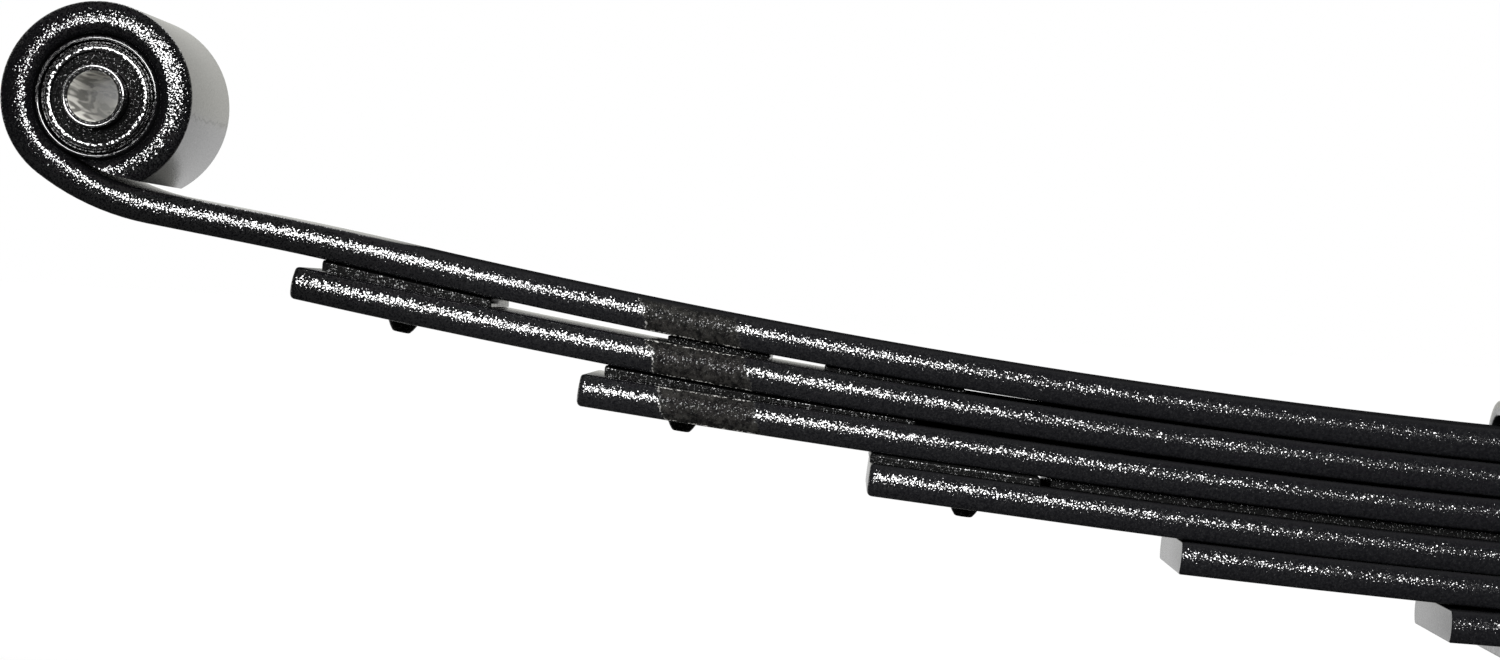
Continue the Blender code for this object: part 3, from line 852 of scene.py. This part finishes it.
def leaf_paint(name, dull_to):
    """Gloss black paint with edges that sparkle. Top faces are dull up to dull_to."""
    made, nodes, shader = painted(name)
    x, _, z = nodes.place()
    reach = nodes.size(x)
    _, normal_y, normal_z = nodes.facing()
    edge = nodes.ramp(nodes.size(normal_y), 0.10, 0.50)
    wander = nodes.times(nodes.minus(nodes.noise(190.0, 4.0, 0.75), 0.5), 0.0075)
    patch, ends, outline = strap_mark(nodes, x, z, normal_z, wander)
    shine = edge_glints(nodes, reach, z, patch, ends)
    covered = nodes.ramp(reach, dull_to - 0.06, dull_to + 0.02, 1.0, 0.0)
    dull = nodes.times(nodes.ramp(normal_z, 0.45, 0.75), covered)

    base = nodes.mix(nodes.ramp(nodes.noise(900.0, 3.0), 0.3, 0.8), *PAINT_TONES)
    base = nodes.mix(nodes.ramp(reach, 0.54, 0.66), base, DEEP_BLACK)
    mottled = nodes.mix(nodes.ramp(nodes.noise(420.0, 5.0, 0.75), 0.38, 0.66), *STRAP_TONES)
    # The dotted outline is mixed into the colour as painted highlight grey
    base = nodes.mix(outline, nodes.mix(patch, base, mottled), PAINTED_GLINT_GREY)
    link(made, nodes.mix(dull, base, DULL_BLACK), shader, "Base Color")

    gloss = nodes.blend(edge, 0.24, 0.12)
    patch_gloss = nodes.blend(shine, 0.5, 0.2)
    link(made, nodes.blend(patch, gloss, patch_gloss), shader, "Roughness")

    specks = nodes.ramp(nodes.noise(1300.0, 2.0, 0.7), 0.35, 0.65, 0.95, 0.62)
    from_scratch = nodes.plus(nodes.minus(z, EYE_CENTRE.z + SCRATCH_HEIGHT), wander)
    scratch = nodes.ramp(nodes.size(from_scratch), 0.0002, 0.0007, 0.35, 1.0)
    level = nodes.blend(edge, nodes.times(specks, scratch), nodes.ramp(shine, 0.0, 1.0, 0.012, 0.75))
    link(made, nodes.blend(dull, level, 0.0), shader, "Specular IOR Level")
    link(made, nodes.grained_normal(TILT_SCALE, nodes.blend(edge, 0.12, 0.95)), shader, "Normal")
    return made


def from_eye_axis(nodes):
    """How far a point is from the axis of its eye."""
    x, _, z = nodes.place()
    across = nodes.minus(nodes.size(x), EYE_CENTRE.x)
    up = nodes.minus(z, EYE_CENTRE.z)
    squares = nodes.plus(nodes.maths("POWER", across, 2.0), nodes.maths("POWER", up, 2.0))
    return nodes.maths("SQRT", squares)


def rubber_paint():
    """Nearly black rubber. Its raised lip shines and has caught grains of paint."""
    made, nodes, shader = painted("bush_rubber")
    shader.inputs["Base Color"].default_value = RUBBER_BLACK
    radius = from_eye_axis(nodes)
    lip = nodes.near(radius, RUBBER_LIP_RADIUS, 0.0007, 0.0009)
    rings = nodes.near(radius, sum(RUBBER_OUTER_RINGS) / 2, 0.0006, 0.0009)
    grains = nodes.noise(TILT_SCALE, 1.0)
    dotted = nodes.times(rings, nodes.ramp(grains, 0.46, 0.54, 0.0, 0.6))
    shine = nodes.larger(nodes.larger(lip, dotted), nodes.ramp(grains, 0.62, 0.68, 0.0, 0.5))
    link(made, nodes.blend(shine, 0.012, 1.0), shader, "Specular IOR Level")
    link(made, nodes.blend(lip, 0.16, 0.12), shader, "Roughness")
    link(made, nodes.grained_normal(1100.0, nodes.blend(lip, 0.12, 0.7)), shader, "Normal")
    return made


def sleeve_paint():
    """Black paint outside. The bore is thinly painted grey steel, with curved runs of paint."""
    made, nodes, shader = painted("sleeve_paint")
    x, y, z = nodes.place()
    radius = from_eye_axis(nodes)
    bore = nodes.ramp(radius, SLEEVE_BORE_RADIUS + 0.0001, SLEEVE_BORE_RADIUS + 0.0004, 1.0, 0.0)
    ring = nodes.ramp(radius, SLEEVE_SHINES_FROM, SLEEVE_SHINES_FROM + 0.0003)
    shine = nodes.larger(ring, nodes.ramp(nodes.noise(TILT_SCALE, 1.0), 0.54, 0.62, 0.0, 0.6))

    stretched = nodes.add("ShaderNodeCombineXYZ", {0: x, 1: nodes.times(y, 0.12), 2: z}).outputs[0]
    inputs = {"Vector": stretched, "Scale": 260.0, "Detail": 1.0, "Roughness": 0.5, "Distortion": 1.8}
    swirl = nodes.add("ShaderNodeTexNoise", inputs).outputs["Fac"]
    runs = nodes.near(swirl, 0.5, 0.012, 0.05)
    runs = nodes.times(runs, nodes.ramp(nodes.plus(x, EYE_CENTRE.x), -0.004, 0.001))
    grey = nodes.mix(nodes.ramp(swirl, 0.40, 0.60), *BORE_GREYS)
    grey = nodes.mix(nodes.times(runs, 0.9), grey, BORE_RUNS)
    link(made, nodes.mix(bore, SLEEVE_BLACK, grey), shader, "Base Color")
    level = nodes.blend(bore, nodes.blend(shine, 0.012, 0.9), 0.4)
    link(made, level, shader, "Specular IOR Level")
    link(made, nodes.blend(bore, 0.12, 0.38), shader, "Roughness")
    link(made, nodes.grained_normal(TILT_SCALE, nodes.blend(bore, 0.14, 0.3)), shader, "Normal")
    return made


# ---------------------------------------------------------------- studio and camera


def add_area_light(name, place, aim, width, height, power):
    light = bpy.data.lights.new(name, "AREA")
    light.shape = "RECTANGLE"
    light.size, light.size_y = width, height
    light.energy = power
    made = bpy.data.objects.new(name, light)
    bpy.context.scene.collection.objects.link(made)
    made.visible_camera = False
    made.location = place
    made.rotation_euler = (Vector(aim) - Vector(place)).to_track_quat("-Z", "Y").to_euler()


def build_world():
    """White all round for the camera. Reflections see white behind the spring and dark in front."""
    world = bpy.data.worlds.new("studio")
    bpy.context.scene.world = world
    world.use_nodes = True
    tree = world.node_tree
    tree.nodes.clear()
    nodes = Nodes(tree)
    direction = nodes.add("ShaderNodeTexCoord").outputs["Generated"]
    _, y, z = nodes.add("ShaderNodeSeparateXYZ", {0: direction}).outputs
    behind = nodes.ramp(y, -0.25, 0.35)
    above = nodes.ramp(z, 0.1, 0.9)
    seen = nodes.mix(behind, nodes.mix(above, *FRONT_SKY), nodes.mix(above, *REAR_SKY))
    by_camera = nodes.add("ShaderNodeLightPath").outputs["Is Camera Ray"]
    colour = nodes.mix(by_camera, seen, WHITE)
    background = nodes.add("ShaderNodeBackground", {"Color": colour, "Strength": 1.0})
    out = nodes.add("ShaderNodeOutputWorld")
    tree.links.new(background.outputs[0], out.inputs[0])


def add_floor():
    """A floor that runs up to white behind the spring, and is dark in front for the paint's reflections.

    The camera sees the part in front as pale grey.
    """
    builder = bmesh.new()
    bmesh.ops.create_grid(builder, x_segments=1, y_segments=1, size=30.0)
    made, nodes, shader = painted("floor_paint")
    shader.inputs["Roughness"].default_value = 0.9
    shader.inputs["Specular IOR Level"].default_value = 0.0
    shader.inputs["Emission Color"].default_value = WHITE
    _, y, _ = nodes.place()
    behind = nodes.ramp(y, 0.30, 1.10)
    link(made, nodes.mix(behind, *FLOOR_TONES), shader, "Base Color")
    by_camera = nodes.add("ShaderNodeLightPath").outputs["Is Camera Ray"]
    glow = nodes.larger(behind, nodes.times(by_camera, FLOOR_GLOW))
    link(made, glow, shader, "Emission Strength")
    floor = add_piece("floor", builder, made)
    floor.location.z = FLOOR_Z


def add_camera():
    camera = bpy.data.cameras.new("camera")
    camera.lens = CAMERA_LENS
    camera.sensor_width = 36.0
    camera.shift_x, camera.shift_y = CAMERA_SHIFT
    camera.clip_start, camera.clip_end = 0.02, 200.0
    made = bpy.data.objects.new("camera", camera)
    bpy.context.scene.collection.objects.link(made)
    right = Vector((math.cos(CAMERA_ROLL), 0, math.sin(CAMERA_ROLL)))
    up = Vector((-math.sin(CAMERA_ROLL), 0, math.cos(CAMERA_ROLL)))
    turn = Matrix((right, up, Vector((0, -1, 0)))).transposed().to_4x4()
    made.matrix_world = Matrix.Translation(CAMERA_PLACE) @ turn
    bpy.context.scene.camera = made


def build():
    main_paint = leaf_paint("main_leaf_paint", MAIN_LEAF_DULL_TO)
    paint = leaf_paint("leaf_paint", PLAIN_LEAF_DULL_TO)
    hardware = gloss_paint("hardware_paint", (0.0018, 0.0018, 0.0020), 0.12, 0.16)
    rubber = rubber_paint()
    plastic = gloss_paint("pad_plastic", (0.0018, 0.0018, 0.0018), 0.22, 0.16, 0.015)
    add_leaves(main_paint, paint)
    add_pads(plastic)
    add_clips(hardware)
    add_bushes(hardware, rubber, sleeve_paint())
    for node in ("centre_bolt", "centre_nut", "centre_spacer"):
        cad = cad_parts[node]
        cad.data.materials.clear()
        cad.data.materials.append(paint if node == "centre_spacer" else hardware)
    add_floor()
    build_world()
    add_area_light("front_box", *FRONT_BOX)
    add_area_light("rear_box", *REAR_BOX)
    add_camera()
    bpy.context.scene.view_settings.view_transform = "Standard"


build()
